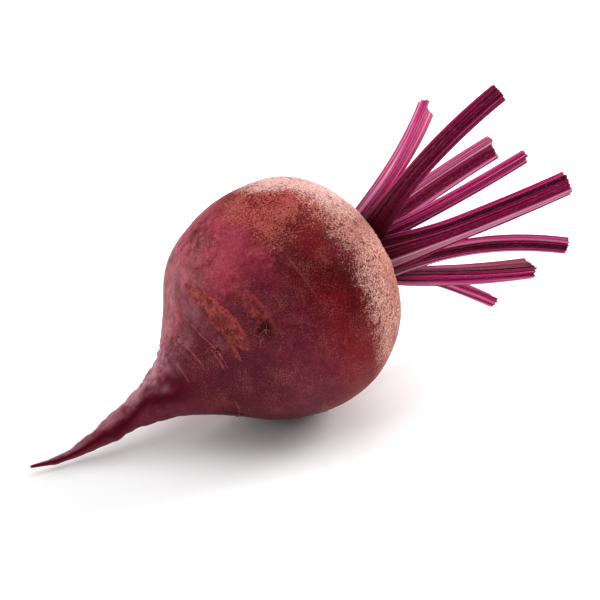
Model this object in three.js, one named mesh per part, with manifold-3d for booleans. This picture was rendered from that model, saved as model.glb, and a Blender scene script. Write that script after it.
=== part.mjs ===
// A beetroot with its leaf stalks cut short, lying on its side on a table.
// Millimetres, +Z up. The origin is the middle of the flat spot that the bulb rests on.
// +X runs from the tip of the taproot towards the leaf stalks, and Z = 0 is the table.

import * as THREE from "three";
import { mergeVertices } from "three/addons/utils/BufferGeometryUtils.js";
import Module from "manifold-3d";

const wasm = await Module();
wasm.setup();

// The bulb. Distances along the root's middle line are counted from the middle of the bulb.
const BULB_RADIUS = 40;
const FLAT_SPOT_DEPTH = 0.55; // how much of the bulb's roundness the flat spot takes away
const FLARE_ANGLE = 42; // degrees from the middle line where the round bulb starts to flare out
const FLARE_REACH = 13; // how far the flare carries on in the bulb's own direction

// The crown, which the leaves grow from.
const CROWN_HEIGHT = 35.5; // from the middle of the bulb to the crown, before its knob
const CROWN_TILT = 18; // degrees that the crown end points above level
const SHOULDER_FULLNESS = 2.4; // 2 makes the crown end an ellipsoid, and more squares its shoulder
const KNOB_RADIUS = 13; // the knob is the corky middle of the crown that carries the leaves
const KNOB_HEIGHT = 2;

// The taproot.
const TAPROOT_REACH = 92.5; // level distance from the middle of the bulb to the root tip
const TAPROOT_SWAY = 1.5; // how far the root tip lies to one side
const NECK_AT = 57; // where the flare of the bulb has died out
const NECK_RADIUS = 6.6;
const NECK_SLOPE = 0.27; // loss of radius for each unit of length at the neck
const NECK_REACH = 11; // how far back from the neck that slope holds
const THINNING = 0.23; // share of the way from neck to tip where the taproot has halved
const TIP_RADIUS = 0.5;

// Course of the taproot seen from the side: shares of its reach, and of the bulb's radius.
const TAPROOT_COURSE = [
  { reach: 0.35, rise: 0.583 },
  { reach: 0.46, rise: 0.471 },
  { reach: 0.56, rise: 0.389 },
  { reach: 0.67, rise: 0.273 },
  { reach: 0.78, rise: 0.151 },
  { reach: 0.89, rise: 0.074 },
  { reach: 1, rise: 0.064 },
];

// Leaf stalks in general.
const OUTER = 10; // radius of the ring of older leaf bases
const HEART = 5; // radius of the ring of young leaf bases
const INNER = 2.5; // distance from the crown's middle of the one old leaf that stands inside
const STALK_GAP = 0.3; // clear space between a stalk and what it grows against
const STALK_SINK = 5; // length of stalk that is trimmed to the shape of the crown
const BASE_FLARE = 1.6; // a leaf base is this much wider than the stalk
const FLARE_LENGTH = 30;
const CHANNEL_SHARE = 0.34; // depth of the channel, as a share of the stalk's thickness
const RIM_SHARE = 0.62; // where the channel's rims stand, as a share of half the stalk's width

// Each stalk leaves the crown at a bearing round it, in degrees from its top towards -Y,
// and leans out from the bulb's axis by one angle at its base and another at its cut end.
// Sway is how far its bearing changes on the way. Width and thickness are those at the cut end.
// The innermost stalks come first, and the three young ones of the heart are short.
const STALKS = {
  young_stalk_1: { ring: HEART, bearing: 345, lean: [20, 32], sway: 0, length: 24, width: 4.2, thick: 3.6 },
  young_stalk_2: { ring: HEART, bearing: 105, lean: [8, 14], sway: 0, length: 33, width: 4.6, thick: 3.8 },
  young_stalk_3: { ring: HEART, bearing: 195, lean: [12, 16], sway: 0, length: 29, width: 4.4, thick: 3.6 },
  leaf_stalk_4: { ring: INNER, bearing: 300, lean: [-5, 1], sway: 0, length: 69, width: 5.2, thick: 4.6 },
  leaf_stalk_3: { ring: OUTER, bearing: 262, lean: [15, 2], sway: -1, length: 70, width: 8.8, thick: 6 },
  leaf_stalk_7: { ring: OUTER, bearing: 167, lean: [31, 26], sway: 20, length: 65, width: 8.4, thick: 6.6 },
  leaf_stalk_6: { ring: OUTER, bearing: 121, lean: [8, 38], sway: 12, length: 67, width: 6.4, thick: 5.4 },
  leaf_stalk_1: { ring: OUTER, bearing: 304, lean: [20, 41], sway: -31, length: 68, width: 7.8, thick: 5.8 },
  leaf_stalk_8: { ring: OUTER, bearing: 210, lean: [45, 50], sway: -31, length: 77, width: 5.6, thick: 4.8 },
  leaf_stalk_2: { ring: OUTER, bearing: 27, lean: [55, 16], sway: -4, length: 67, width: 6.2, thick: 5.4 },
  leaf_stalk_5: { ring: OUTER, bearing: 81, lean: [28, 11], sway: 9, length: 67, width: 8, thick: 6.2 },
};

// Fineness of the faceted surfaces.
const RING_SIDES = 36;
const KNOB_STATIONS = 4;
const SHOULDER_STATIONS = 14;
const TAPROOT_STATIONS = 34;
const STALK_SIDES = 16;
const STALK_STEPS = 12;

const radians = THREE.MathUtils.degToRad;
const lerp = THREE.MathUtils.lerp;
const bulbCentre = new THREE.Vector3(0, 0, BULB_RADIUS);
const crownAxis = new THREE.Vector3(Math.cos(radians(CROWN_TILT)), 0, Math.sin(radians(CROWN_TILT)));
const crownCentre = bulbCentre.clone().addScaledVector(crownAxis, CROWN_HEIGHT);

// A closed geometry as a solid that can be cut.
function solidOf(geometry) {
  const bare = geometry.clone();
  bare.deleteAttribute("normal");
  bare.deleteAttribute("uv");
  const merged = mergeVertices(bare, 1e-3);
  return new wasm.Manifold(
    new wasm.Mesh({
      numProp: 3,
      vertProperties: merged.attributes.position.array,
      triVerts: new Uint32Array(merged.index.array),
    }),
  );
}

function geometryOf(solid) {
  const mesh = solid.getMesh();
  const geometry = new THREE.BufferGeometry();
  geometry.setAttribute("position", new THREE.BufferAttribute(mesh.vertProperties, 3));
  geometry.setIndex(new THREE.BufferAttribute(mesh.triVerts, 1));
  geometry.computeVertexNormals();
  return geometry;
}

// What is left of a trimmed solid without the loose slivers beside it.
function largestBody(solid) {
  return solid.decompose().reduce((best, body) => (body.volume() > best.volume() ? body : best));
}

// Moves every vertex of a straight shape to its place on the grown, curved one.
function bend(geometry, place) {
  const position = geometry.getAttribute("position");
  const vertex = new THREE.Vector3();
  for (let i = 0; i < position.count; i++) {
    const placed = place(vertex.fromBufferAttribute(position, i));
    position.setXYZ(i, placed.x, placed.y, placed.z);
  }
  return geometry;
}

// ---- Root ----

// The middle line of the root, from the crown through the bulb to the root tip.
function rootSpine() {
  const course = TAPROOT_COURSE.map(({ reach, rise }) => {
    return new THREE.Vector3(-reach * TAPROOT_REACH, reach ** 2 * TAPROOT_SWAY, rise * BULB_RADIUS);
  });
  return new THREE.CatmullRomCurve3([crownCentre, bulbCentre, ...course]);
}

// The crown end of the bulb, from the knob's foot to the widest place, as a superellipse.
// Each point is a distance along the middle line and a radius.
function shoulderPoints(count) {
  const power = 2 / SHOULDER_FULLNESS;
  const foot = Math.acos((KNOB_RADIUS / BULB_RADIUS) ** (1 / power));
  return Array.from({ length: count }, (_, i) => {
    const angle = foot * (1 - i / count);
    return new THREE.Vector2(-CROWN_HEIGHT * Math.sin(angle) ** power, BULB_RADIUS * Math.cos(angle) ** power);
  });
}

// The corky knob, domed over the flat of the crown.
function knobPoints(foot) {
  const top = foot.x - KNOB_HEIGHT;
  const knob = new THREE.Path();
  knob.moveTo(top, 0);
  knob.bezierCurveTo(top, KNOB_RADIUS / 2, foot.x, KNOB_RADIUS * 0.8, foot.x, KNOB_RADIUS);
  return knob.getPoints(KNOB_STATIONS).slice(0, -1);
}

// The round end of the bulb, its flare into the neck, and the taproot down to its tip.
function taprootPoints(tip) {
  const angle = radians(FLARE_ANGLE);
  const flare = new THREE.Vector2(Math.cos(angle), Math.sin(angle)).multiplyScalar(BULB_RADIUS);
  const taproot = new THREE.Path();
  taproot.absarc(0, 0, BULB_RADIUS, Math.PI / 2, angle, true);
  taproot.bezierCurveTo(
    flare.x + FLARE_REACH * Math.sin(angle),
    flare.y - FLARE_REACH * Math.cos(angle),
    NECK_AT - NECK_REACH,
    NECK_RADIUS + NECK_REACH * NECK_SLOPE,
    NECK_AT,
    NECK_RADIUS,
  );
  taproot.quadraticCurveTo(lerp(NECK_AT, tip, THINNING), NECK_RADIUS / 2, tip, TIP_RADIUS);
  return taproot.getSpacedPoints(TAPROOT_STATIONS);
}

// The root as a solid of rings about its middle line. margin makes it thicker all over.
function rootSolid(margin = 0) {
  const spine = rootSpine();
  const spineLength = spine.getLength();
  const tip = spineLength - CROWN_HEIGHT;
  const shoulder = shoulderPoints(SHOULDER_STATIONS);
  const outline = [...knobPoints(shoulder[0]), ...shoulder, ...taprootPoints(tip)];
  const profile = outline.map((p) => new THREE.Vector2(p.y > 0 ? p.y + margin : 0, p.x));
  profile[0].y -= margin;
  profile.push(new THREE.Vector2(0, tip + TIP_RADIUS + margin));

  const up = new THREE.Vector3(0, 0, 1);
  const placed = bend(new THREE.LatheGeometry(profile, RING_SIDES), (vertex) => {
    const along = (vertex.y + CROWN_HEIGHT) / spineLength;
    const share = THREE.MathUtils.clamp(along, 0, 1);
    const tangent = spine.getTangentAt(share);
    const side = new THREE.Vector3().crossVectors(tangent, up).normalize();
    const lift = new THREE.Vector3().crossVectors(side, tangent);
    return spine
      .getPointAt(share)
      .addScaledVector(tangent, (along - share) * spineLength)
      .addScaledVector(side, vertex.x)
      .addScaledVector(lift, vertex.z);
  });
  return solidOf(placed);
}

// The room below a table top at this height, which the flat spot is cut with.
function tableSolid(height) {
  const room = 4 * (BULB_RADIUS + TAPROOT_REACH);
  const slab = new THREE.BoxGeometry(room, room, room);
  slab.translate(0, 0, height - room / 2);
  return solidOf(slab);
}

// ---- Leaf stalks ----

// The direction that leans out from the crown's axis at a bearing round it, in the crown's own frame.
function leaning(lean, bearing) {
  const outward = Math.sin(radians(lean));
  return new THREE.Vector3(
    outward * Math.cos(radians(bearing)),
    outward * Math.sin(radians(bearing)),
    Math.cos(radians(lean)),
  );
}

// A stalk's middle line: straight where it sinks into the crown, then bending to its cut end.
function stalkCurve({ ring, bearing, lean, sway, length }) {
  const start = leaning(lean[0], bearing);
  const end = leaning(lean[1], bearing + sway);
  const base = leaning(90, bearing).multiplyScalar(ring);
  const tip = base.clone().addScaledVector(start, length / 2).addScaledVector(end, length / 2);
  const path = new THREE.CurvePath();
  path.add(new THREE.LineCurve3(base.clone().addScaledVector(start, -STALK_SINK), base));
  path.add(
    new THREE.CubicBezierCurve3(
      base,
      base.clone().addScaledVector(start, length / 3),
      tip.clone().addScaledVector(end, -length / 3),
      tip,
    ),
  );
  return path;
}

// The cut across a stalk: round on the outside, with a channel along the side that faces inwards.
function stalkSection(width, thick, margin) {
  const half = width / 2 + margin;
  const back = thick / 2 + margin;
  const rim = half * RIM_SHARE;
  const channel = back - CHANNEL_SHARE * thick;
  const section = new THREE.Shape();
  section.moveTo(half, 0);
  section.quadraticCurveTo(half, back, rim, back);
  section.quadraticCurveTo(rim / 3, channel, 0, channel);
  section.quadraticCurveTo(-rim / 3, channel, -rim, back);
  section.quadraticCurveTo(-half, back, -half, 0);
  section.absellipse(0, 0, half, back, Math.PI, 2 * Math.PI, false);
  return new THREE.Shape(section.getSpacedPoints(STALK_SIDES));
}

// One stalk in the crown's own frame, before it is trimmed. margin makes it thicker all round.
function stalkSolid(stalk, margin = 0) {
  const curve = stalkCurve(stalk);
  const length = curve.getLength();
  const straight = new THREE.ExtrudeGeometry(stalkSection(stalk.width, stalk.thick, margin), {
    depth: 1,
    steps: STALK_STEPS,
    bevelEnabled: false,
  });
  const placed = bend(straight, (vertex) => {
    const share = THREE.MathUtils.clamp(vertex.z, 0, 1);
    const faded = THREE.MathUtils.smoothstep(share * length, STALK_SINK, STALK_SINK + FLARE_LENGTH);
    const tangent = curve.getTangentAt(share);
    const inward = leaning(90, stalk.bearing + stalk.sway * share).negate();
    inward.addScaledVector(tangent, -inward.dot(tangent)).normalize();
    const side = new THREE.Vector3().crossVectors(inward, tangent);
    return curve
      .getPointAt(share)
      .addScaledVector(side, vertex.x * lerp(BASE_FLARE, 1, faded))
      .addScaledVector(inward, vertex.y);
  });
  return solidOf(placed);
}

// ---- Assembly ----

const rootMaterial = new THREE.MeshStandardMaterial({ color: 0x5e1f2c, roughness: 0.6, metalness: 0 });
const stalkMaterial = new THREE.MeshStandardMaterial({ color: 0x7d0f45, roughness: 0.45, metalness: 0 });

// The root is cut level a little above its lowest place, and all of it is lowered to stand on that flat spot.
const wholeRoot = rootSolid();
const tableTop = wholeRoot.boundingBox().min[2] + FLAT_SPOT_DEPTH;
const beetroot = new THREE.Group();
const plant = new THREE.Group();
plant.position.z = -tableTop;
beetroot.add(plant);

const root = new THREE.Mesh(geometryOf(wholeRoot.subtract(tableSolid(tableTop))), rootMaterial);
root.name = "beet_root";
plant.add(root);

// The crown's own frame: +Z out along the bulb's axis, +X towards its upper side, +Y towards -Y.
const crown = new THREE.Group();
crown.position.copy(crownCentre);
crown.rotation.set(0, Math.PI / 2 - radians(CROWN_TILT), Math.PI, "YXZ");
crown.updateMatrix();
plant.add(crown);

// Each stalk is trimmed to the crown, and to the stalks before it in the list, which it clasps.
const grownRoot = geometryOf(rootSolid(STALK_GAP)).applyMatrix4(crown.matrix.clone().invert());
let inTheWay = solidOf(grownRoot);
for (const [name, stalk] of Object.entries(STALKS)) {
  const trimmed = largestBody(stalkSolid(stalk).subtract(inTheWay));
  const mesh = new THREE.Mesh(geometryOf(trimmed), stalkMaterial);
  mesh.name = name;
  crown.add(mesh);
  inTheWay = inTheWay.add(stalkSolid(stalk, STALK_GAP));
}

export default beetroot;
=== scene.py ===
"""A beetroot with its leaf stalks cut short, lying on its side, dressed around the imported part.
Metres, +Z up, in the part's own frame. +X runs from the root tip towards the leaf stalks."""

import math
import random

import bpy
import numpy as np
from mathutils import Matrix, Vector


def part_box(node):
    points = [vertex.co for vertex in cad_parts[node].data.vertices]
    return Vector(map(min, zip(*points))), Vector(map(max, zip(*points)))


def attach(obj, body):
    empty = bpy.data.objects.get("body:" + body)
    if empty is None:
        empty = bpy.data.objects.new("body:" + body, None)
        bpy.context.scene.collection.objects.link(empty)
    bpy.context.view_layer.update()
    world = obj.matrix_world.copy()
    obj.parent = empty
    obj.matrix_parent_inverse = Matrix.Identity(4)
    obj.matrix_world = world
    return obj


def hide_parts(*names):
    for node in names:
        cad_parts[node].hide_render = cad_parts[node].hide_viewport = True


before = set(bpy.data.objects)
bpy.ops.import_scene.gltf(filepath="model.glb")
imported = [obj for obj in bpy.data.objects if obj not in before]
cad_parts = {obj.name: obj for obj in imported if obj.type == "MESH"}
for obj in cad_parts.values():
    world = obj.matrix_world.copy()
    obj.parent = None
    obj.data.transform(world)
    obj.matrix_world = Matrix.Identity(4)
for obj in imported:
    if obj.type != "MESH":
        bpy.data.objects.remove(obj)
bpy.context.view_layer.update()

MM = 0.001

# ---- Root ----
# The root is one swollen piece: a round bulb that flares into a thin taproot, with a corky crown.
# Its skin is grown as rings about a bending middle line, then wrinkled, scarred and roughened.
# It lies on the small flat spot under the bulb.

CROWN_HEIGHT = 35.5 * MM  # from the middle of the bulb to the crown
CROWN_TILT = math.radians(18)
TIP_RADIUS = 0.5 * MM
ROOT_STATIONS = 384
ROOT_SIDES = 252
ROOT_SEED = 3
CURVE_RESOLUTION = 24

root_low, root_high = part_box("beet_root")
bulb_radius = (root_high.y - root_low.y) / 2
bulb_centre = Vector((0, 0, root_high.z - bulb_radius))
taproot_reach = -root_low.x - TIP_RADIUS
crown_axis = Vector((math.cos(CROWN_TILT), 0, math.sin(CROWN_TILT)))
crown_centre = bulb_centre + crown_axis * CROWN_HEIGHT

# Course of the taproot seen from the side: shares of its reach, and of the bulb's height.
TAPROOT_COURSE = (
    (0.35, 0.57), (0.46, 0.455), (0.56, 0.37), (0.67, 0.25), (0.78, 0.142), (0.89, 0.080), (1, 0.080),
)
TAPROOT_SWAY = 1.5 * MM

# Knots of the root's outline: distance from the middle of the bulb and radius, each with its
# two handles. The first is the knob of the crown and the last the end of the taproot.
ROOT_LENGTH = 100.4
ROOT_OUTLINE = (
    ((-36.5, 0), (-36.5, 0), (-36.5, 6.5)),
    ((-34.4, 13), (-34.5, 10.4), (-30.8, 31)),
    ((0, 40), (-19.3, 40), (11.3, 40)),
    ((29.7, 26.8), (22.1, 35.2), (38.4, 17.1)),
    ((57, 6.6), (46, 9.6), (64.1, 4.4)),
    ((ROOT_LENGTH, 0.5), (79.5, 2.4), (ROOT_LENGTH, 0.5)),
    ((ROOT_LENGTH + 0.6, 0), (ROOT_LENGTH + 0.6, 0.3), (ROOT_LENGTH + 0.6, 0)),
)

# Marks that run round the root. Bearings are degrees from its top towards -Y. Each has its distance
# from the middle of the bulb, where it starts, is widest and ends, its width, and how bold it is.
SCARS = (
    (24.8, 2, 45, 64, 6.4, 0.9),
    (28.4, 49, 60, 68, 1.7, 0.7),
    (15.6, 30, 48, 66, 5.0, 0.5),
    (22.0, -150, -118, -84, 4.4, 0.9),
    (14.0, 118, 138, 150, 2.6, 0.6),
)
CREASES = (
    (32.4, -6, 38, 72, 0.45, 0.9),
    (38.2, -20, 20, 56, 0.5, 0.8),
    (33.4, 46, 56, 74, 0.6, 1.0),
    (0.8, 24, 42, 66, 0.6, 0.35),
    (44.0, 6, 30, 70, 0.45, 0.6),
    (35.6, 96, 130, 165, 0.5, 0.8),
    (30.0, -140, -100, -64, 0.5, 0.8),
    (41.5, -170, -110, -50, 0.5, 0.8),
)
# Pits that side roots grew out of: distance from the middle of the bulb, bearing and radius.
PITS = (
    (17.0, 59, 3.6), (25.8, 47, 1.2), (32.4, 51, 1.3), (40.0, 4, 1.8), (27.0, -122, 2.4), (36.0, 132, 1.8),
)

# Zones of the root, each with where it starts and where it is full. A second pair ends it again.
# Along the root they are distances from the middle of the bulb, in mm.
NECK = ((38, 52),)
NECK_SIDE = ((12, 28),)
WRINKLES = ((37, 43), (70, 52))
STRANDS = ((8, 56),)
TAIL_LUMPS = ((40, 56),)
FURROWS = ((4, 26), (66, 46))
CORK = ((-7, -24),)
LEAF_SCARS = ((-29, -33),)
HEART_OF_CROWN = ((-31, -34.5),)
SPOTTED_CORK = ((-31, -24),)
RUST = ((11, -1),)
# Dust on the bulb with a painted sheen over it: the sheen is a pale highlight along its lit edge.
DUST_AND_SHEEN_ZONE = ((-4, 10),)
DUST_AND_SHEEN_THINS = ((22, 36),)
PLUM = ((-2, 14),)
# Painted sheen: a mauve highlight along the top of the neck, fainter on the bulb.
PAINTED_SHEEN_ALONG, FAINT_PAINTED_SHEEN_ALONG, PAINTED_SHEEN_THINS = ((36, 48),), ((12, 30),), ((56, 72),)
RESTING = ((40, 25),)
# Round the root they are bearings.
WRINKLED_SIDES = ((85, 40),)
CORK_TOP, CORK_UNDERSIDE = ((14, -6), (-110, -50)), ((50, 100),)
# Bearings where the cork has a painted highlight, on its top.
PAINTED_CORK_HIGHLIGHT_SIDES = ((40, 12), (-75, -25))
FAR_LEFT, FAR_RIGHT = ((-62, -110),), ((105, 150),)
RUSTY_SIDE = ((50, 18), (-30, 0))
PLUM_SIDE, NECK_PLUM_SIDE = ((20, 52),), ((-25, 14),)
# Bearings where the neck and tail are painted lighter, as if lit: on the top and underneath.
PAINTED_LIT_TOP, PAINTED_LIT_UNDERSIDE = ((62, 22),), ((66, 112),)
# Bearings where the dust and its painted sheen are thinner.
SIDE_WITHOUT_DUST_AND_SHEEN = ((16, 50),)
# Bearings that the painted mauve sheen covers.
PAINTED_SHEEN_TOP, PAINTED_SHEEN_NEAR_SIDE = ((50, 4),), ((-110, -60),)

# Heights and depths of the skin's relief, in mm.
LUMP_DEPTH, WRINKLE_DEPTH, STRAND_DEPTH = 0.8, 0.9, 0.35
FINE_LUMPS = 0.16
TAIL_LUMP, TAIL_GRAIN = 3.4, 0.45
FURROW_DEPTH, SCAR_DEPTH, CREASE_HEIGHT, PIT_DEPTH = 0.55, 0.30, 0.22, 0.45
CORK_GRAIN, CORK_LUMPS = 0.45, 0.35
LEAF_SCAR_HEIGHT = 2.6
FURROW_BEARINGS = (50, -130)
RIM_WIDTH = 1.7  # raised edge of a scar
TOP_CORK_REACH, UNDER_CORK_REACH = 9, 4  # how much further the cork runs on the top and underneath
FLAT_SPOT = 1.1 * MM  # how far the lowest skin is pressed in where it rests
FLAT_SPOT_REACH = 9 * MM

# The skin's speckles from the finest to the broadest: how many to a metre, how many finer layers
# they have, and how strong those are.
SPECKLES = ((3000, 2, 0.6), (1300, 2, 0.6), (420, 3, 0.6), (130, 3, 0.6), (42, 3, 0.55))

# Colours of the root, as linear red, green and blue.
DARK_SKIN, RED_SKIN = (0.072, 0.0010, 0.0040), (0.160, 0.0030, 0.0085)
PLUM_SKIN = (0.086, 0.0085, 0.0205)
# Dust under a painted sheen, and its paler speckles.
DUST_AND_SHEEN_SKIN, DUST_AND_SHEEN_SPECKLE = (0.31, 0.032, 0.065), (0.40, 0.115, 0.150)
DARK_RUST, PALE_RUST = (0.300, 0.044, 0.034), (0.500, 0.118, 0.088)
TAN_SPECKLE, DARK_SPECKLE = (0.46, 0.125, 0.100), (0.036, 0.0010, 0.0045)
# The tail's dark magenta, and a painted lit copy of it.
DARK_TAIL, PAINTED_LIT_TAIL = (0.075, 0.0002, 0.0080), (0.160, 0.022, 0.042)
TAIL_PATCH = (0.070, 0.0050, 0.0120)
# A painted mauve sheen, standing in for a highlight.
PAINTED_MAUVE_SHEEN = (0.46, 0.235, 0.285)
CORK_HOLLOW, CORK_CREST = (0.24, 0.054, 0.042), (0.69, 0.375, 0.310)
# The second is a painted highlight for the top of the cork.
BROWN_CORK, PAINTED_CORK_HIGHLIGHT = (0.34, 0.090, 0.066), (0.80, 0.520, 0.480)
WORN_CORK, CORK_SPOT = (0.27, 0.078, 0.062), (0.100, 0.026, 0.075)
CROWN_HEART = (0.085, 0.014, 0.017)
SCAR_HOLLOW, SCAR_CREST = (0.105, 0.0090, 0.0120), (0.340, 0.068, 0.054)
SCAR_EDGE, CREASE_LINE = (0.40, 0.045, 0.050), (0.32, 0.064, 0.074)
PIT_HOLLOW = (0.018, 0.0012, 0.0035)

SKIN_GLOSS = 0.05
BUMP_STRENGTH = 0.6


class Wire:
    """One output of a node. Sums and products of wires become nodes of the same tree."""

    def __init__(self, tree, socket):
        self.tree = tree
        self.socket = socket

    def __add__(self, other):
        return compute("ADD", self, other)

    def __radd__(self, other):
        return compute("ADD", other, self)

    def __sub__(self, other):
        return compute("SUBTRACT", self, other)

    def __rsub__(self, other):
        return compute("SUBTRACT", other, self)

    def __mul__(self, other):
        return compute("MULTIPLY", self, other)

    def __truediv__(self, other):
        return compute("DIVIDE", self, other)

    def __pow__(self, other):
        return compute("POWER", self, other)


def is_vector(value):
    if isinstance(value, Wire):
        return value.socket.type in ("VECTOR", "RGBA")
    return hasattr(value, "__len__")


def feed(socket, value):
    """Links a wire to an input of a node, or sets that input to a plain value."""
    if isinstance(value, Wire):
        value.tree.links.new(value.socket, socket)
    elif socket.type == "VECTOR" and not is_vector(value):
        socket.default_value = (value, value, value)
    elif socket.type == "RGBA" and len(value) == 3:
        socket.default_value = (*value, 1)
    else:
        socket.default_value = value


def add_node(tree, kind, *values, pick=0, **settings):
    """Adds a node, feeds its inputs in order, and returns the output that is picked."""
    node = tree.nodes.new(kind)
    for name, value in settings.items():
        setattr(node, name, value)
    for socket, value in zip([s for s in node.inputs if s.enabled], values):
        if value is not None:
            feed(socket, value)
    outputs = [s for s in node.outputs if s.enabled]
    chosen = outputs[pick] if isinstance(pick, int) else next(s for s in outputs if s.name == pick)
    return Wire(tree, chosen)


def compute(operation, *values):
    """A sum of numbers or of vectors, as a node."""
    tree = next(v.tree for v in values if isinstance(v, Wire))
    pick = "Value" if operation in ("DOT_PRODUCT", "LENGTH") else 0
    kind = "ShaderNodeVectorMath" if any(map(is_vector, values)) else "ShaderNodeMath"
    return add_node(tree, kind, *values, pick=pick, operation=operation)


def fade(value, start, end):
    """Rises smoothly from 0 where the value is at start to 1 where it is at end."""
    return add_node(value.tree, "ShaderNodeMapRange", value, start, end, 0.0, 1.0,
                    interpolation_type="SMOOTHSTEP")


def remap(value, low, high, to_low, to_high):
    """Carries a value from one range to another in proportion."""
    return add_node(value.tree, "ShaderNodeMapRange", value, low, high, to_low, to_high)


def noise(vector, scale, detail=2.0, roughness=0.5):
    """A cloudy pattern that runs from 0 to 1 about a middle of 0.5."""
    return add_node(vector.tree, "ShaderNodeTexNoise", vector, scale, detail, roughness, pick=0)


def mix(share, first, second):
    """A blend of two colours or numbers."""
    kind = "RGBA" if is_vector(first) or is_vector(second) else "FLOAT"
    return add_node(share.tree, "ShaderNodeMix", share, first, second, data_type=kind)


def pack_vector(x, y, z):
    """A vector of three numbers, at least one of them a wire."""
    tree = next(v.tree for v in (x, y, z) if isinstance(v, Wire))
    return add_node(tree, "ShaderNodeCombineXYZ", x, y, z)


def unpack(vector):
    """The three numbers of a vector."""
    return [add_node(vector.tree, "ShaderNodeSeparateXYZ", vector, pick=i) for i in range(3)]


def start_tree(name, **inputs):
    """A Geometry Nodes tree with named inputs. Gives the tree and a wire from each input."""
    tree = bpy.data.node_groups.new(name, "GeometryNodeTree")
    labels = {label: label.replace("_", " ").capitalize() for label in inputs}
    for label, kind in inputs.items():
        tree.interface.new_socket(labels[label], in_out="INPUT", socket_type=f"NodeSocket{kind}")
    tree.interface.new_socket("Geometry", in_out="OUTPUT", socket_type="NodeSocketGeometry")
    entry = tree.nodes.new("NodeGroupInput")
    return tree, {label: Wire(tree, entry.outputs[labels[label]]) for label in inputs}


def finish_tree(geometry, finish):
    """Ends a tree: the geometry is realised, given its finish and put out."""
    tree = geometry.tree
    real = add_node(tree, "GeometryNodeRealizeInstances", geometry)
    smooth = add_node(tree, "GeometryNodeSetShadeSmooth", real)
    dressed = add_node(tree, "GeometryNodeSetMaterial", smooth, None, finish)
    feed(tree.nodes.new("NodeGroupOutput").inputs[0], dressed)


def store(geometry, name, value):
    """Keeps a value on the mesh's points under a name, for the finish to read."""
    kind = "FLOAT_VECTOR" if is_vector(value) else "FLOAT"
    return add_node(geometry.tree, "GeometryNodeStoreNamedAttribute", geometry, None, name, value,
                    data_type=kind, domain="POINT")


def recall(tree, name, kind="FLOAT"):
    """A value that the mesh's points hold under a name."""
    return add_node(tree, "GeometryNodeInputNamedAttribute", name, data_type=kind)


def grow(name, tree, **sizes):
    """Runs a tree with these inputs and returns what it grows as an object with a plain mesh."""
    piece = bpy.data.objects.new(name, bpy.data.meshes.new(name))
    bpy.context.scene.collection.objects.link(piece)
    modifier = piece.modifiers.new("Growth", "NODES")
    modifier.node_group = tree
    identifiers = {item.name: item.identifier for item in tree.interface.items_tree
                   if item.in_out == "INPUT"}
    for label, value in sizes.items():
        modifier[identifiers[label.replace("_", " ").capitalize()]] = value
    grown = piece.evaluated_get(bpy.context.evaluated_depsgraph_get())
    mesh = bpy.data.meshes.new_from_object(grown)
    piece.modifiers.remove(modifier)
    piece.data = mesh
    mesh.name = name
    return piece


def curve_object(name, knots=None, points=None):
    """A curve through knots, each a point with its two handles, or smoothly through points."""
    curve = bpy.data.curves.new(name, "CURVE")
    curve.dimensions = "3D"
    curve.resolution_u = CURVE_RESOLUTION
    spline = curve.splines.new("BEZIER")
    spline.bezier_points.add(len(knots or points) - 1)
    for i, place in enumerate(spline.bezier_points):
        if knots:
            place.handle_left_type = place.handle_right_type = "FREE"
            place.co, place.handle_left, place.handle_right = knots[i]
        else:
            place.handle_left_type = place.handle_right_type = "AUTO"
            place.co = points[i]
    made = bpy.data.objects.new(name, curve)
    bpy.context.scene.collection.objects.link(made)
    return made


def start_finish(name):
    """A new material, with its shader and the place on the piece that its patterns read."""
    material = bpy.data.materials.new(name)
    material.use_nodes = True
    tree = material.node_tree
    return material, tree.nodes["Principled BSDF"], add_node(tree, "ShaderNodeTexCoord", pick="Object")


def mark(tree, name, pick="Fac"):
    """A value that the mesh holds under a name, for a finish."""
    return add_node(tree, "ShaderNodeAttribute", pick=pick, attribute_name=name)


def add_bump(shader, height, distance):
    """Gives a finish the relief that is too fine for the mesh."""
    bump = add_node(height.tree, "ShaderNodeBump")
    for name, value in (("Strength", BUMP_STRENGTH), ("Distance", distance), ("Height", height)):
        feed(bump.socket.node.inputs[name], value)
    feed(shader.inputs["Normal"], bump)


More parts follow.
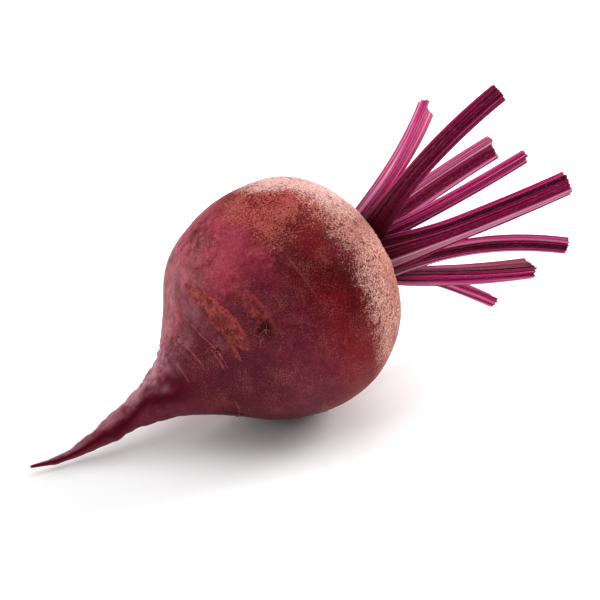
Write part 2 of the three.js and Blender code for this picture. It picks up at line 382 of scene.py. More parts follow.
def root_finish():
    """The root's skin: dull dark red, dust and a painted mauve sheen towards the taproot, and tan cork on
    the crown.
    """
    material, shader, place = start_finish("root_skin")
    grain, fleck, patch, blotch, cloud = (noise(place, *speckle) for speckle in SPECKLES)
    cork, scar, edge, crease, pit, rust, dust_and_sheen, neck, painted_sheen, low, shade, spotted, pale, far, heart = (
        mark(place.tree, name) for name in (
            "cork", "scar", "edge", "crease", "pit", "rust", "dust_and_sheen", "neck", "painted_sheen", "low", "shade",
            "spotted", "pale", "far", "heart",
        )
    )

    # red skin, darker underneath, with dust under a painted sheen, rust and tan speckles
    skin = mix(fade(cloud, 0.36, 0.64), DARK_SKIN, RED_SKIN)
    skin = mix(low * 0.88, skin, PLUM_SKIN)
    skin = mix(dust_and_sheen * fade(cloud * 0.7 + patch * 0.8, 0.52, 0.88), skin, DUST_AND_SHEEN_SKIN)
    skin = mix(dust_and_sheen * fade(patch * 0.7 + fleck * 0.6, 0.68, 0.84) * 0.35, skin, DUST_AND_SHEEN_SPECKLE)
    rusty = rust * 0.62 + (fleck - 0.5) * 1.6 + (blotch - 0.5) * 0.9 + (grain - 0.5) * 1.0
    rusty_skin = mix(fade(grain, 0.40, 0.60), DARK_RUST, PALE_RUST)
    skin = mix(fade(rusty, 0.34, 0.82) * 0.85 * fade(rust, 0.0, 0.3), skin, rusty_skin)
    tan = fade(grain + (blotch - 0.5) * 0.4, 0.53, 0.66)
    skin = mix(tan * (0.42 + rust * 0.25), skin, TAN_SPECKLE)
    skin = mix(fade(fleck, 0.42, 0.30) * 0.35, skin, DARK_SPECKLE)

    # neck and tail: smooth and dark, painted lighter on the top and underside, and a painted mauve sheen
    # above
    root_end = mix(shade, DARK_TAIL, PAINTED_LIT_TAIL)
    root_end = mix(fade(patch, 0.46, 0.62) * 0.35, root_end, TAIL_PATCH)
    skin = mix(neck, skin, root_end)
    # a painted mauve sheen: a highlight on the top of the neck and bulb
    skin = mix(painted_sheen * fade(patch * 0.4 + blotch * 0.8, 0.40, 0.78) * 0.85, skin, PAINTED_MAUVE_SHEEN)

    # cork, with a painted highlight on its top, a torn edge, dark spots and the dark heart of the crown
    corky = mix(fade(grain * 0.6 + fleck * 0.5, 0.47, 0.62), CORK_HOLLOW, CORK_CREST)
    corky = mix(fade(cloud + blotch * 0.5, 0.62, 0.90) * 0.5, corky, BROWN_CORK)
    corky = mix(pale * fade(grain, 0.30, 0.60) * 0.75, corky, PAINTED_CORK_HIGHLIGHT)
    weathered = far * fade(blotch + (patch - 0.5) * 0.8 + (fleck - 0.5) * 0.5, 0.30, 0.72)
    corky = mix(weathered * 0.8, corky, WORN_CORK)
    spots = fade(patch + fleck * 0.5, 0.72, 0.60) * fade(blotch, 0.40, 0.52) * spotted
    corky = mix(spots * 0.75, corky, CORK_SPOT)
    corky = mix(fade(heart * 1.1 + (patch - 0.5) * 1.2, 0.25, 0.75), corky, CROWN_HEART)
    torn = (fleck - 0.5) * 0.7 + (patch - 0.5) * 0.5 + (grain - 0.5) * 1.1
    torn = torn * fade(cork, 0.0, 0.2) * fade(cork, 1.0, 0.8)
    colour = mix(fade(cork + torn, 0.22, 0.84), skin, corky)

    # scars, creases and pits
    scarred = mix(fade(patch * 0.5 + fleck * 0.4 + grain * 0.3, 0.48, 0.78), SCAR_HOLLOW, SCAR_CREST)
    scarred = mix(edge * fade(fleck, 0.30, 0.60) * 0.8, scarred, SCAR_EDGE)
    ragged = (fleck - 0.5) * 0.9 + (patch - 0.5) * 0.9
    colour = mix(fade(scar + ragged * 0.5, 0.12, 0.72), colour, scarred)
    colour = mix(crease * fade(patch + blotch, 0.74, 1.0), colour, CREASE_LINE)
    colour = mix(pit * 0.9, colour, PIT_HOLLOW)
    feed(shader.inputs["Base Color"], colour)

    rough = mix(cork, 0.44 + (fleck - 0.5) * 0.3, 0.86 + (grain - 0.5) * 0.1)
    feed(shader.inputs["Roughness"], rough)
    feed(shader.inputs["Specular IOR Level"], SKIN_GLOSS)
    height = grain * (0.35 + cork * 1.3) + fleck * (0.5 + cork * 1.1) + patch * (0.5 + neck * 0.8)
    add_bump(shader, height, 0.4 * MM)
    return material


def root_tree():
    """Rings of skin about the middle line, moved in and out by the root's lumps, wrinkles and marks."""
    tree, given = start_tree(
        "Grown root", middle_line="Object", outline="Object", stations="Int", sides="Int",
        lump_depth="Float", wrinkle_depth="Float", strand_depth="Float", flat_spot="Float", seed="Float",
        finish="Material",
    )
    grid = add_node(tree, "GeometryNodeMeshGrid", 1.0, 1.0, given["stations"], given["sides"])
    along, round_, _ = unpack(add_node(tree, "GeometryNodeInputPosition"))
    turn = round_ * (2 * math.pi)

    def curve_of(label):
        return add_node(tree, "GeometryNodeObjectInfo", given[label], pick="Geometry")

    outline = curve_of("outline")
    axial, radius, _ = unpack(sample_curve(outline, along + 0.5, "FACTOR", "Position"))
    middle = curve_of("middle_line")
    reach = axial + CROWN_HEIGHT
    length = add_node(tree, "GeometryNodeCurveLength", middle)
    held = compute("MINIMUM", compute("MAXIMUM", reach, 0.0), length)
    centre = sample_curve(middle, held, "LENGTH", "Position")
    tangent = sample_curve(middle, held, "LENGTH", "Tangent")
    front = compute("NORMALIZE", compute("CROSS_PRODUCT", (0.0, 0.0, 1.0), tangent))
    lift = compute("CROSS_PRODUCT", tangent, front)
    cosine, sine = compute("COSINE", turn), compute("SINE", turn)
    ring = lift * cosine + front * sine

    skin = store(grid, "axial", axial / MM)
    skin = store(skin, "bearing", turn * (180 / math.pi))
    skin = store(skin, "girth", radius / MM)
    skin = store(skin, "lay", pack_vector(cosine, sine, axial * 50))
    skin = add_node(tree, "GeometryNodeSetPosition", skin, None,
                    centre + tangent * (reach - held) + ring * radius)
    skin = add_node(tree, "GeometryNodeMergeByDistance", skin, None, 0.01 * MM)

    place = add_node(tree, "GeometryNodeInputPosition")
    axial, bearing = recall(tree, "axial"), recall(tree, "bearing")
    girth, lay = recall(tree, "girth"), recall(tree, "lay", "FLOAT_VECTOR")
    shifted = place + given["seed"]

    def swell(scale, detail=2.0):
        """A pattern in the root's own space that runs to both sides of 0."""
        return noise(shifted, scale, detail) - 0.5

    def zone(value, ends):
        """1 inside a zone, 0 outside it, and smooth between."""
        share = fade(value, *ends[0])
        for pair in ends[1:]:
            share = share * fade(value, *pair)
        return share

    def most(values):
        """The greatest of several values at each point."""
        total = None
        for value in values:
            total = value if total is None else compute("MAXIMUM", total, value)
        return total

    # how far, in mm, marks and zones wander along the root, coarsely and finely
    wobble = swell(160) * 2.2
    edge = swell(420, 3) * 1.6

    def ribbon(at, start, widest, end, width, strength):
        """How deep a point lies in a mark that tapers from its widest place to both ends."""
        before = (widest - bearing) / (widest - start)
        after = (bearing - widest) / (end - widest)
        run = compute("MINIMUM", compute("MAXIMUM", before, after), 1.0)
        half = (1.0 - run * run) * (width / 2) + 0.02
        off = compute("ABSOLUTE", axial + wobble * 0.6 + edge * 0.3 - at)
        return fade(off / half, 1.25, 0.75) * fade(run, 1.0, 0.92) * strength

    scar = most(ribbon(*sizes) for sizes in SCARS)
    rim = most(ribbon(at - width * 0.38, start, widest, end, RIM_WIDTH, bold)
               for at, start, widest, end, width, bold in SCARS)
    crease = most(ribbon(*sizes) for sizes in CREASES)
    groove = most(ribbon(at + width, start, widest, end, width, bold)
                  for at, start, widest, end, width, bold in CREASES)

    def pitted(at, turned, size):
        """How deep a point lies in a round pit."""
        aside = (bearing - turned) * girth * (math.pi / 180)
        off = axial + edge - at
        return fade(compute("SQRT", aside * aside + off * off) + edge, size, size * 0.25)

    pit = most(pitted(*sizes) for sizes in PITS)

    # neck: folds across it, strands along it
    neck = zone(axial + wobble, NECK)
    fold_zone = zone(axial, WRINKLES) * zone(bearing, WRINKLED_SIDES)
    fold = noise(lay * (1.2, 1.2, 6.0) + given["seed"], 1.0, 1, 0.4)
    fold = compute("ABSOLUTE", fold - 0.5) * 2.0
    strand = noise(lay * (5.5, 5.5, 1.1) + given["seed"], 1.0, 3, 0.6) - 0.5
    furrow = most(
        fade(compute("ABSOLUTE", bearing + wobble * 2 - turned), 16, 2) for turned in FURROW_BEARINGS
    ) * zone(axial, FURROWS)

    # crown: cork that reaches further down on the top, and the ring where old leaves stood
    corked = axial + wobble * 3.0 + edge * 1.8 - zone(bearing, CORK_UNDERSIDE) * UNDER_CORK_REACH
    cork = zone(corked - zone(bearing, CORK_TOP) * TOP_CORK_REACH, CORK)
    upward, sideways = cosine_of(bearing) * 1.3, sine_of(bearing) * 1.3
    leaf_ring = noise(pack_vector(girth * 0.55, upward, sideways), 1.0, 2) - 0.5

    def slimmed(thick):
        """Less than 1 where the root is thinner than this, so that the tail keeps its shape."""
        return compute("MINIMUM", girth / thick, 1.0)

    relief = (
        swell(30, 1) * 2 * given["lump_depth"]
        + swell(75, 2) * 0.7 * given["lump_depth"]
        + swell(400, 3) * FINE_LUMPS
        + fold_zone * (fold - 0.25) * given["wrinkle_depth"] * 2.0
        + strand * given["strand_depth"] * zone(axial, STRANDS) * slimmed(6)
        + (swell(135, 1) * TAIL_LUMP + swell(420, 2) * TAIL_GRAIN) * zone(axial, TAIL_LUMPS) * slimmed(4)
        - furrow * FURROW_DEPTH
        + (rim - scar) * SCAR_DEPTH
        + crease * CREASE_HEIGHT
        - groove * CREASE_HEIGHT
        - pit * PIT_DEPTH
        + cork * (swell(900, 3) * CORK_GRAIN + swell(260, 2) * CORK_LUMPS)
        + zone(axial, LEAF_SCARS) * leaf_ring * LEAF_SCAR_HEIGHT
    )
    normal = add_node(tree, "GeometryNodeInputNormal")
    skin = add_node(tree, "GeometryNodeSetPosition", skin, None, None, normal * (relief * MM))

    x, y, z = unpack(add_node(tree, "GeometryNodeInputPosition"))
    sunk = fade(z, FLAT_SPOT_REACH, 0.0) * zone(axial, RESTING) * given["flat_spot"]
    settled = compute("MAXIMUM", z - sunk, 0.0)
    skin = add_node(tree, "GeometryNodeSetPosition", skin, None, pack_vector(x, y, settled))

    # what the finish reads; drift is a bearing whose lines wander
    drift = bearing + swell(110, 3) * 100 + swell(420, 2) * 20
    by_neck = zone(axial, NECK_SIDE) * zone(drift, NECK_PLUM_SIDE)
    # dust with a painted sheen over it, thinner on one side
    dust_and_sheen = zone(axial + wobble * 2, DUST_AND_SHEEN_ZONE) * (1.0 - zone(drift, SIDE_WITHOUT_DUST_AND_SHEEN) * 0.8)
    # a painted mauve sheen: a highlight on the top of the neck and bulb
    painted_sheen = zone(drift, PAINTED_SHEEN_TOP) * zone(bearing, PAINTED_SHEEN_NEAR_SIDE) * (1.0 - zone(axial, PAINTED_SHEEN_THINS) * 0.5)
    for name, value in dict(
        scar=scar,
        edge=rim,
        crease=crease,
        pit=pit,
        cork=cork,
        neck=neck,
        spotted=zone(axial, SPOTTED_CORK),
        # a painted highlight on the top of the cork
        pale=zone(bearing, PAINTED_CORK_HIGHLIGHT_SIDES),
        far=most((zone(bearing, FAR_LEFT), zone(bearing, FAR_RIGHT))),
        low=most((zone(drift, PLUM_SIDE) * zone(axial, PLUM), by_neck)),
        heart=zone(axial, HEART_OF_CROWN),
        # painted light on the top and underside of the neck and tail
        shade=most((zone(drift, PAINTED_LIT_TOP), zone(drift, PAINTED_LIT_UNDERSIDE))),
        rust=zone(axial + wobble, RUST) * zone(bearing, RUSTY_SIDE),
        dust_and_sheen=dust_and_sheen * (1.0 - zone(axial, DUST_AND_SHEEN_THINS) * 0.3) * (1.0 - by_neck * 0.85),
        painted_sheen=painted_sheen * (zone(axial, PAINTED_SHEEN_ALONG) * 0.75 + zone(axial, FAINT_PAINTED_SHEEN_ALONG) * 0.25),
    ).items():
        skin = store(skin, name, value)
    finish_tree(skin, given["finish"])
    return tree


def sample_curve(curve, value, mode, pick):
    """A point on a curve, or its direction there, at a share or a distance along it."""
    return add_node(curve.tree, "GeometryNodeSampleCurve", curve, None, value, pick=pick, mode=mode,
                    use_all_curves=True)


def cosine_of(degrees):
    return compute("COSINE", degrees * (math.pi / 180))


def sine_of(degrees):
    return compute("SINE", degrees * (math.pi / 180))


root_points = [crown_centre, bulb_centre]
for reach, rise in TAPROOT_COURSE:
    root_points.append(Vector((-reach * taproot_reach, reach**2 * TAPROOT_SWAY, rise * bulb_centre.z)))
middle_line = curve_object("middle_line", points=root_points)
outline = curve_object(
    "outline", knots=[[Vector((x * MM, y * MM, 0)) for x, y in knot] for knot in ROOT_OUTLINE]
)
beet_root = grow(
    "beet_root_skin", root_tree(), middle_line=middle_line, outline=outline, stations=ROOT_STATIONS,
    sides=ROOT_SIDES, lump_depth=LUMP_DEPTH, wrinkle_depth=WRINKLE_DEPTH, strand_depth=STRAND_DEPTH,
    flat_spot=FLAT_SPOT, seed=float(ROOT_SEED), finish=root_finish(),
)
for helper in (middle_line, outline):
    bpy.data.objects.remove(helper)
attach(beet_root, "root")
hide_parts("beet_root")

# ---- Root hairs ----
# Fine side roots left on the skin after washing: threads of the same root that come out of its pits
# and furrows and lie along the skin. They are too thin for the solid part.

HAIR_RADIUS = 0.085 * MM
HAIR_TAPER = 0.55  # share of its thickness that a hair has lost at its end
HAIR_SIDES = 6
HAIR_SPACING = 0.35 * MM  # between the rings of a hair's mesh
HAIR_LIFT = 0.05 * MM
HAIR_STRAY = 0.9 * MM
HAIR_DARK, HAIR_PALE = (0.11, 0.0080, 0.0130), (0.36, 0.085, 0.070)

# Hairs that grow out of a pit at random: how many to a pit, how many stops each has, how far apart
# these are in mm, and how much a hair turns from one to the next, in radians.
PIT_HAIRS = 6
HAIR_STOPS = (3, 6)
HAIR_STEP = 1.3
HAIR_TURN = 0.5

# Hairs with a known course: stops along each, as mm from the middle of the bulb and bearing.
HAIRS = [
    [(26.0, 48), (29.0, 49.5), (31.4, 48.5), (33.6, 45.5), (35.6, 46), (38.0, 50.5)],
    [(30.9, 20), (30.3, 24), (29.2, 27), (27.0, 32)],
    [(36.0, 36), (35.2, 38), (34.0, 42)],
    [(38.6, 48.5), (37.4, 50), (37.7, 53), (38.6, 56), (38.0, 60)],
    [(38.0, 22), (39.5, 15), (42.2, 7), (45.0, 3), (48.0, -2)],
    [(36.5, 16), (38.5, 8), (41.0, 2), (43.0, -8)],
    [(17.2, 59), (16.6, 61), (17.4, 64), (19.4, 63), (21.5, 65)],
    [(19.0, 55), (20.4, 58), (20.0, 62), (22.5, 66)],
    [(31.4, 48.5), (33.0, 51), (33.4, 58), (33.7, 66)],
]


def hair_tree():
    """Threads that follow their lines, held against the skin."""
    tree, given = start_tree(
        "Root hairs", lines="Object", skin="Object", radius="Float", lift="Float", step="Float",
        finish="Material",
    )

    def shape_of(label):
        return add_node(tree, "GeometryNodeObjectInfo", given[label], pick="Geometry")

    line = add_node(tree, "GeometryNodeCurveSplineType", shape_of("lines"), spline_type="CATMULL_ROM")
    line = add_node(tree, "GeometryNodeResampleCurve", line, None, given["step"], mode="LENGTH")
    place = add_node(tree, "GeometryNodeInputPosition")
    strayed = place + (noise(place, 420, 2) - 0.5) * HAIR_STRAY
    nearest = add_node(tree, "GeometryNodeProximity", shape_of("skin"), None, strayed,
                       target_element="FACES")
    out = add_node(tree, "GeometryNodeInputNormal")
    normal = add_node(tree, "GeometryNodeSampleNearestSurface", shape_of("skin"), out, None, strayed,
                      data_type="FLOAT_VECTOR")
    line = add_node(tree, "GeometryNodeSetPosition", line, None, nearest + normal * given["lift"])
    share = add_node(tree, "GeometryNodeSplineParameter", pick="Factor")
    ring = add_node(tree, "GeometryNodeCurvePrimitiveCircle", HAIR_SIDES, given["radius"])
    thread = add_node(tree, "GeometryNodeCurveToMesh", line, ring, 1.0 - share * HAIR_TAPER, True)
    finish_tree(thread, given["finish"])
    return tree


def hair_finish():
    """Dry side roots, red-brown with paler lengths."""
    material, shader, place = start_finish("root_hair")
    feed(shader.inputs["Base Color"], mix(fade(noise(place, 260, 2), 0.40, 0.60), HAIR_DARK, HAIR_PALE))
    feed(shader.inputs["Roughness"], 0.7)
    feed(shader.inputs["Specular IOR Level"], 0.1)
    return material


def skin_table(mesh):
    """Where each point of the root's skin lies: distance along, bearing, girth and position."""
    table = []
    for name in ("axial", "bearing", "girth"):
        values = np.zeros(len(mesh.vertices), np.float32)
        mesh.attributes[name].data.foreach_get("value", values)
        table.append(values)
    places = np.zeros(len(mesh.vertices) * 3, np.float32)
    mesh.vertices.foreach_get("co", places)
    return (*table, places.reshape(-1, 3))


axials, bearings, girths, skin_places = skin_table(beet_root.data)


def on_skin(axial, bearing):
    """The place on the root's skin nearest to a distance along it and a bearing."""
    turned = np.abs((bearings - bearing + 180) % 360 - 180)
    nearest = int(np.argmin((axials - axial) ** 2 + (np.radians(turned) * girths) ** 2))
    return nearest, Vector(skin_places[nearest].tolist())


chance = random.Random(ROOT_SEED)
for at, turned, size in PITS:
    for _ in range(PIT_HAIRS):
        axial, bearing, heading = at, turned, chance.uniform(0, 2 * math.pi)
        stops = []
        for _ in range(chance.randint(*HAIR_STOPS)):
            stops.append((axial, bearing))
            girth = girths[on_skin(axial, bearing)[0]]
            heading += chance.gauss(0, HAIR_TURN)
            axial += math.cos(heading) * HAIR_STEP
            bearing += math.degrees(math.sin(heading) * HAIR_STEP / girth)
        HAIRS.append(stops)

hair_lines = bpy.data.curves.new("hair_lines", "CURVE")
hair_lines.dimensions = "3D"
for stops in HAIRS:
    spline = hair_lines.splines.new("POLY")
    spline.points.add(len(stops) - 1)
    for point, stop in zip(spline.points, stops):
        point.co = (*on_skin(*stop)[1], 1)
hair_lines = bpy.data.objects.new("hair_lines", hair_lines)
bpy.context.scene.collection.objects.link(hair_lines)
root_hairs = grow(
    "root_hairs", hair_tree(), lines=hair_lines, skin=beet_root, radius=HAIR_RADIUS, lift=HAIR_LIFT,
    step=HAIR_SPACING, finish=hair_finish(),
)
bpy.data.objects.remove(hair_lines)
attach(root_hairs, "root")

# ---- Leaf stalks ----
# Eight stalks of full-grown leaves cut off short, and three young ones in the heart of the crown.
# Each is fleshy, ribbed lengthwise, round on its back and channelled on the side that faces inwards.
# Its widened base clasps the crown, and its cut end shows pale flesh with the ends of the fibres.

OUTER, HEART, INNER = 10, 5, 2.5  # radii in mm of the rings of leaf bases, as the part has them
STALK_SINK = 3.5  # length in mm of stalk that is rooted in the crown
BASE_FLARE = 1.6  # a leaf base is this much wider than its stalk
BASE_THINNING = 0.12
FLARE_LENGTH = 30 * MM
# Painted shade towards a stalk's base, where the stalks crowd together.
PAINTED_BASE_SHADE = (30 * MM, 5 * MM)  # from where a stalk darkens towards its base to where it is darkest
RIBS = 17
RIB_DEPTH = 0.05  # of the stalk's width
CHANNEL_DEPTH = 0.34  # of half the stalk's thickness, for a stalk that doesn't state its own
SIDE_ROUNDNESS, CHANNEL_ROUNDNESS, CHANNEL_STEEPNESS = 0.85, 0.45, 4.0
CUT_ROWS, ROOTED_ROWS = 0.05, 0.015  # shares of the rows that close a stalk's two ends
CUT_RAGGEDNESS, CUT_RIBS, CUT_DOME = 2.6 * MM, 0.3 * MM, 0.8 * MM
CUT_REACH = 0.94  # share of the stalk where its cut end starts to be ragged
STALK_SIDES = 128
STALK_ROWS = 2.2  # for each mm of length
STALK_SEEDS = 7.3  # how far apart the patterns of two stalks are taken
SHARP_EDGE = math.radians(50)

# Colours of a stalk, as linear red, green and blue. Its streaks run from the first pair's dark to the
# palest, each with the tones between which it takes over.
MAROON, DEEP_MAGENTA = (0.036, 0.0004, 0.0070), (0.135, 0.0016, 0.026)
STREAKS = (
    (0.36, 0.54, (0.33, 0.0035, 0.085)),
    (0.54, 0.68, (0.51, 0.024, 0.175)),
    (0.70, 0.86, (0.54, 0.200, 0.310)),
    (0.92, 1.10, (0.74, 0.470, 0.460)),
)
# The second colour is painted shade, the dark maroon at the base of a stalk.
STALK_DOTS, PAINTED_STALK_BASE_SHADE = (0.50, 0.22, 0.24), (0.050, 0.0012, 0.0065)
RED_FLESH, PALE_FLESH = (0.40, 0.02, 0.11), (0.62, 0.24, 0.32)

# Each stalk leaves the crown at a bearing round it, in degrees from its top towards -Y, and leans out
# by one angle at its base and another at its cut end. Sway is how far its bearing changes on the way.
# Lengths, widths and thicknesses are in mm. Stripes are lines of paler or darker skin, partly the stalk's
# own streaks and partly painted highlights and shade. Each has an angle round the stalk, where 0 is the
# middle of the channel and 180 the middle of the back, a width in degrees, and how much paler it is. Tint
# makes the whole stalk paler or darker, partly for its own colour and partly as painted light and shade.
STALKS = {
    "young_stalk_1": dict(ring=HEART, bearing=345, lean=(20, 32), sway=0, length=24, width=4.2, thick=3.6),
    "young_stalk_2": dict(ring=HEART, bearing=105, lean=(8, 14), sway=0, length=33, width=4.6, thick=3.8),
    "young_stalk_3": dict(ring=HEART, bearing=195, lean=(12, 16), sway=0, length=29, width=4.4, thick=3.6),
    "leaf_stalk_4": dict(
        ring=INNER, bearing=300, lean=(-5, 1), sway=0, length=69, width=5.2, thick=4.6,
        tint_and_painted_light=0.04, stripes=((80, 70, 0.12), (2, 16, -0.26), (-20, 16, 0.2)),
    ),
    "leaf_stalk_3": dict(
        ring=OUTER, bearing=262, lean=(15, 2), sway=-1, length=70, width=8.8, thick=6, tint_and_painted_light=0.05,
        stripes=((105, 40, 0.26), (60, 30, 0.22), (28, 10, 0.46), (-8, 18, -0.2), (-50, 32, 0.28)),
    ),
    "leaf_stalk_7": dict(
        ring=OUTER, bearing=167, lean=(31, 26), sway=20, length=65, width=8.4, thick=6.6, channel=0.12,
        stripes=((16, 8, 0.3), (350, 18, -0.3), (330, 8, 0.12), (300, 24, -0.26), (240, 40, 0.2)),
    ),
    "leaf_stalk_6": dict(
        ring=OUTER, bearing=121, lean=(8, 38), sway=12, length=67, width=6.4, thick=5.4, tint_and_painted_light=-0.01,
        stripes=((300, 30, 0.08), (264, 9, 0.36), (228, 24, -0.22), (172, 12, 0.30)),
    ),
    "leaf_stalk_1": dict(
        ring=OUTER, bearing=304, lean=(20, 41), sway=-31, length=68, width=7.8, thick=5.8, tint_and_painted_light=0.05,
        stripes=((110, 60, 0.17), (50, 24, 0.17), (14, 10, -0.15), (-20, 20, 0.2)),
    ),
    "leaf_stalk_8": dict(
        ring=OUTER, bearing=210, lean=(45, 50), sway=-31, length=77, width=5.6, thick=4.8, tint_and_painted_light=0.03,
        stripes=((330, 40, 0.12), (262, 10, 0.35), (240, 10, -0.25), (212, 12, 0.35)),
    ),
    "leaf_stalk_2": dict(
        ring=OUTER, bearing=27, lean=(55, 16), sway=-4, length=67, width=6.2, thick=5.4, tint_and_painted_light=-0.01,
        stripes=((225, 20, 0.16), (175, 20, -0.10), (150, 8, 0.14), (110, 40, -0.12)),
    ),
    "leaf_stalk_5": dict(
        ring=OUTER, bearing=81, lean=(28, 11), sway=9, length=67, width=8, thick=6.2, tint_and_painted_light=0.02,
        stripes=((286, 20, 0.16), (238, 24, -0.20), (200, 8, 0.10), (156, 22, 0.26)),
    ),
}

crown_up = Vector((-math.sin(CROWN_TILT), 0, math.cos(CROWN_TILT)))
crown_front = Vector((0, -1, 0))


def leaning(lean, bearing):
    """The direction that leans out from the crown's axis at a bearing round it."""
    lean, bearing = math.radians(lean), math.radians(bearing)
    outward = crown_up * math.cos(bearing) + crown_front * math.sin(bearing)
    return crown_axis * math.cos(lean) + outward * math.sin(lean)


def stalk_line(name, ring, bearing, lean, sway, length):
    """A stalk's middle line: straight out of the crown, then bending to its cut end."""
    start, end = leaning(lean[0], bearing), leaning(lean[1], bearing + sway)
    base = crown_centre + leaning(90, bearing) * ring * MM
    tip = base + (start + end) * (length / 2 * MM)
    sunk = base - start * STALK_SINK * MM
    third = length / 3 * MM
    return curve_object(name, knots=[
        (sunk, sunk, sunk + start * MM),
        (base, base - start * MM, base + start * third),
        (tip, tip - end * third, tip),
    ])


def stalk_finish():
    """Stalk skin: lengthwise streaks from dark maroon through magenta to pale pink, painted shade towards
    the base, and pale cut flesh.
    """
    material, shader, place = start_finish("leaf_stalk")
    tree = place.tree
    tone, cut, base = (mark(tree, name) for name in ("tone", "cut", "base"))
    lay = mark(tree, "lay", "Vector")
    fibre = noise(lay * (16.0, 16.0, 1.0), 1.0, 3, 0.6)
    hair = noise(lay * (38.0, 38.0, 3.0), 1.0, 2, 0.6)
    grain = noise(place, 1800, 2, 0.6)
    dots = noise(lay * (26.0, 26.0, 26.0), 1.0, 1, 0.5)

    level = tone + (fibre - 0.5) * 0.70 + (hair - 0.5) * 0.45
    colour = mix(fade(level, 0.14, 0.36), MAROON, DEEP_MAGENTA)
    for start, full, streak in STREAKS:
        colour = mix(fade(level, start, full), colour, streak)
    colour = mix(fade(dots, 0.62, 0.70) * 0.3, colour, STALK_DOTS)
    # painted shade towards the base of the stalk, between the stalks
    colour = mix(base * (1.0 - fade(level, 0.5, 0.8) * 0.5) * 0.85, colour, PAINTED_STALK_BASE_SHADE)
    colour = mix(cut, colour, mix(fade(grain, 0.35, 0.65), RED_FLESH, PALE_FLESH))
    feed(shader.inputs["Base Color"], colour)
    feed(shader.inputs["Roughness"], 0.40 + (grain - 0.5) * 0.3 + cut * 0.2)
    feed(shader.inputs["Specular IOR Level"], SKIN_GLOSS)
    add_bump(shader, fibre * (1.0 - cut) * 1.4 + hair * 0.5 + grain * 0.3, 0.25 * MM)
    return material


def stalk_tree():
    """A ribbed and channelled section swept along a middle line, closed by a rooted and a cut end."""
    tree, given = start_tree(
        "Grown leaf stalk", middle_line="Object", inward_at_base="Vector", inward_at_end="Vector",
        width="Float", thick="Float", channel="Float", rib_depth="Float", stations="Int", sides="Int",
        seed="Float", finish="Material",
    )
    grid = add_node(tree, "GeometryNodeMeshGrid", 1.0, 1.0, given["stations"], given["sides"])
    along, round_, _ = unpack(add_node(tree, "GeometryNodeInputPosition"))
    row = along + 0.5
    turn = round_ * (2 * math.pi)
    across, inner = compute("SINE", turn), compute("COSINE", turn)
    share = remap(row, ROOTED_ROWS, 1 - CUT_ROWS, 0.0, 1.0)
    rooted = remap(row, 0.0, ROOTED_ROWS, 0.0, 1.0)
    uncut = remap(row, 1.0, 1 - CUT_ROWS, 0.0, 1.0)

    line = add_node(tree, "GeometryNodeObjectInfo", given["middle_line"], pick="Geometry")
    length = add_node(tree, "GeometryNodeCurveLength", line)
    centre = sample_curve(line, share, "FACTOR", "Position")
    tangent = sample_curve(line, share, "FACTOR", "Tangent")
    towards = mix(share, given["inward_at_base"], given["inward_at_end"])
    inward = compute("NORMALIZE", towards - tangent * compute("DOT_PRODUCT", towards, tangent))
    side = compute("CROSS_PRODUCT", inward, tangent)

    reach = share * length
    flared = fade(reach, FLARE_LENGTH, 0.0)
    half = given["width"] * 0.5 * (1.0 + flared * (BASE_FLARE - 1))
    back = given["thick"] * 0.5 * (1.0 - flared * BASE_THINNING)
    hollow = compute("MAXIMUM", inner, 0.0)
    bulge = compute("MAXIMUM", inner * -1.0, 0.0)
    wide = compute("SIGN", across) * compute("ABSOLUTE", across) ** SIDE_ROUNDNESS
    channel = hollow ** CHANNEL_STEEPNESS * given["channel"] * 2.0
    high = hollow ** CHANNEL_ROUNDNESS - channel - bulge

    lay = pack_vector(across, inner, reach * 25) + given["seed"]
    rib = noise(lay * (4.4, 4.4, 0.14), 1.0, 1, 0.4)
    ribs = compute("COSINE", turn * RIBS + (noise(lay * (1.3, 1.3, 0.16), 1.0, 1, 0.4) - 0.5) * 16.0)
    fine = noise(lay * (9.0, 9.0, 0.22), 1.0, 2, 0.5)
    swollen = noise(lay * (0.8, 0.8, 1.2), 1.0, 1, 0.5) - 0.5
    relief = (ribs * 0.5 + (rib - 0.5) * 1.5 + (fine - 0.5) * 0.9) * given["rib_depth"]
    ragged = (noise(lay * (9.0, 9.0, 0.0), 1.0, 2, 0.6) - 0.5) * CUT_RAGGEDNESS + ribs * CUT_RIBS
    kept = compute("MINIMUM", rooted, uncut)
    grown = 1.0 + relief / half + swollen * 0.10
    wide_mm = half * wide * grown
    high_mm = back * high * grown
    end = fade(share, CUT_REACH, 1.0)
    dome = (1.0 - uncut) * (1.0 - uncut) * -CUT_DOME
    spot = (
        centre + side * (wide_mm * kept) + inward * (high_mm * kept - back * 0.25 * (1.0 - kept))
        + tangent * (end * ragged * uncut - dome)
    )

    tone = 0.46 + (rib - 0.5) * 0.85 + ribs * 0.13 + (fine - 0.5) * 0.9 - hollow ** 3.0 * 0.04
    skin = store(grid, "lay", lay)
    skin = store(skin, "tone", tone)
    skin = store(skin, "turn", turn * (180 / math.pi))
    skin = store(skin, "cut", fade(uncut, 0.95, 0.6) * fade(share, 0.99, 1.0))
    # where the painted shade at the stalk's base falls
    skin = store(skin, "base", fade(reach, *PAINTED_BASE_SHADE))
    skin = add_node(tree, "GeometryNodeSetPosition", skin, None, spot)
    skin = add_node(tree, "GeometryNodeMergeByDistance", skin, None, 0.01 * MM)
    finish_tree(skin, given["finish"])
    return tree


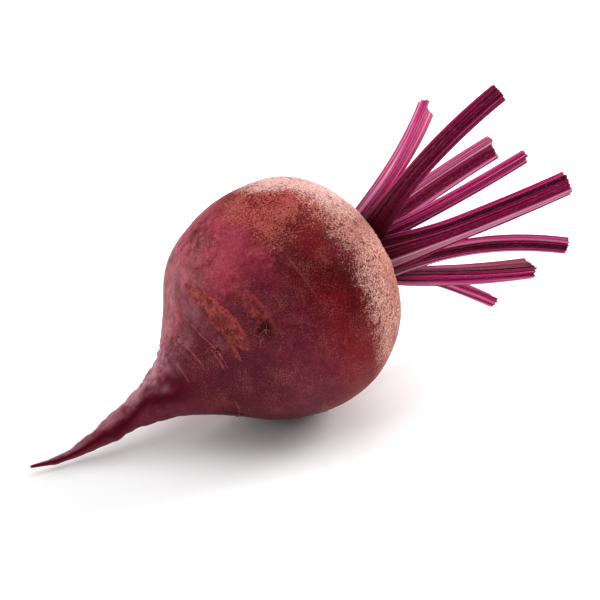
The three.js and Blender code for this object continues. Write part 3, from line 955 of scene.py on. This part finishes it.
def paint_stripes(mesh, tint_and_painted_light, stripes):
    """Makes the skin paler or darker along lines at these angles round the stalk, and over the whole stalk
    by its tint: partly its own streaks and colour, partly painted highlights and shade.
    """
    tone, turn = (np.zeros(len(mesh.vertices), np.float32) for _ in range(2))
    mesh.attributes["tone"].data.foreach_get("value", tone)
    mesh.attributes["turn"].data.foreach_get("value", turn)
    tone += tint_and_painted_light
    for angle, width, paler in stripes:
        aside = np.abs((turn - angle + 180) % 360 - 180)
        tone += paler * np.clip(1.5 - aside / width * 1.5, 0, 1)
    mesh.attributes["tone"].data.foreach_set("value", tone)


grown_stalk = stalk_tree()
stalk_skin = stalk_finish()
for order, (name, stalk) in enumerate(STALKS.items()):
    course = (stalk[key] for key in ("ring", "bearing", "lean", "sway", "length"))
    line = stalk_line(name + "_line", *course)
    piece = grow(
        name + "_skin", grown_stalk, middle_line=line, inward_at_base=-leaning(90, stalk["bearing"]),
        inward_at_end=-leaning(90, stalk["bearing"] + stalk["sway"]), width=stalk["width"] * MM,
        thick=stalk["thick"] * MM, channel=stalk.get("channel", CHANNEL_DEPTH),
        rib_depth=stalk["width"] * RIB_DEPTH * MM, stations=int(stalk["length"] * STALK_ROWS),
        sides=STALK_SIDES, seed=STALK_SEEDS * order + 1.0, finish=stalk_skin,
    )
    bpy.data.objects.remove(line)
    paint_stripes(piece.data, stalk.get("tint_and_painted_light", 0), stalk.get("stripes", ()))
    piece.data.set_sharp_from_angle(angle=SHARP_EDGE)
    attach(piece, "root")
    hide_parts(name)

# ---- Floor, light and camera ----
# A pale seamless floor under soft studio light: a large key from the upper right behind the
# crown, a rim from the left and a weak fill from the front.

CAMERA_AZIMUTH = math.radians(-31)
CAMERA_ELEVATION = math.radians(25)
CAMERA_DISTANCE = 0.557
CAMERA_ASIDE, CAMERA_RAISED = 0.0056, 0.0002
LENS = 100
FLOOR_REACH = 4
PAPER, PAPER_ROUGHNESS = (0.92, 0.92, 0.92), 0.9
DAYLIGHT = 0.45

back = Vector((
    math.sin(CAMERA_AZIMUTH) * math.cos(CAMERA_ELEVATION),
    -math.cos(CAMERA_AZIMUTH) * math.cos(CAMERA_ELEVATION),
    math.sin(CAMERA_ELEVATION),
))
right = Vector((math.cos(CAMERA_AZIMUTH), math.sin(CAMERA_AZIMUTH), 0))
up = back.cross(right)

camera = bpy.data.objects.new("camera", bpy.data.cameras.new("camera"))
camera.data.lens = LENS
camera.data.clip_start = 0.01
camera.matrix_world = Matrix.LocRotScale(
    bulb_centre + back * CAMERA_DISTANCE + right * CAMERA_ASIDE + up * CAMERA_RAISED,
    back.to_track_quat("Z", "Y"),
    None,
)
bpy.context.scene.collection.objects.link(camera)
bpy.context.scene.camera = camera

floor_mesh = bpy.data.meshes.new("floor")
floor_corners = [(x * FLOOR_REACH, y * FLOOR_REACH, 0) for x, y in ((-1, -1), (1, -1), (1, 1), (-1, 1))]
floor_mesh.from_pydata(floor_corners, [], [(0, 1, 2, 3)])
floor = bpy.data.objects.new("floor", floor_mesh)
bpy.context.scene.collection.objects.link(floor)
paper, shader, _ = start_finish("pale_paper")
feed(shader.inputs["Base Color"], PAPER)
feed(shader.inputs["Roughness"], PAPER_ROUGHNESS)
floor_mesh.materials.append(paper)

world = bpy.data.worlds.new("studio")
world.use_nodes = True
feed(world.node_tree.nodes["Background"].inputs["Color"], (1, 1, 1))
feed(world.node_tree.nodes["Background"].inputs["Strength"], DAYLIGHT)
bpy.context.scene.world = world


def add_light(name, towards, distance, size, watts):
    """A square soft light on the given side of the bulb, facing it."""
    lamp = bpy.data.lights.new(name, "AREA")
    lamp.size = size
    lamp.energy = watts
    light = bpy.data.objects.new(name, lamp)
    direction = Vector(towards).normalized()
    light.matrix_world = Matrix.LocRotScale(
        bulb_centre + direction * distance, direction.to_track_quat("Z", "Y"), None
    )
    bpy.context.scene.collection.objects.link(light)


add_light("key", right * 0.9 + up * 0.8 - back * 0.45, 0.9, 0.5, 12)
add_light("rim", -right * 1.0 + up * 0.45 - back * 0.15, 0.9, 0.7, 6)
add_light("top", Vector((0, 0, 1)), 1.3, 1.2, 9)
add_light("fill", -right * 0.2 + up * 0.5 + back, 1.2, 0.8, 0.5)
bpy.context.scene.view_settings.view_transform = "Standard"
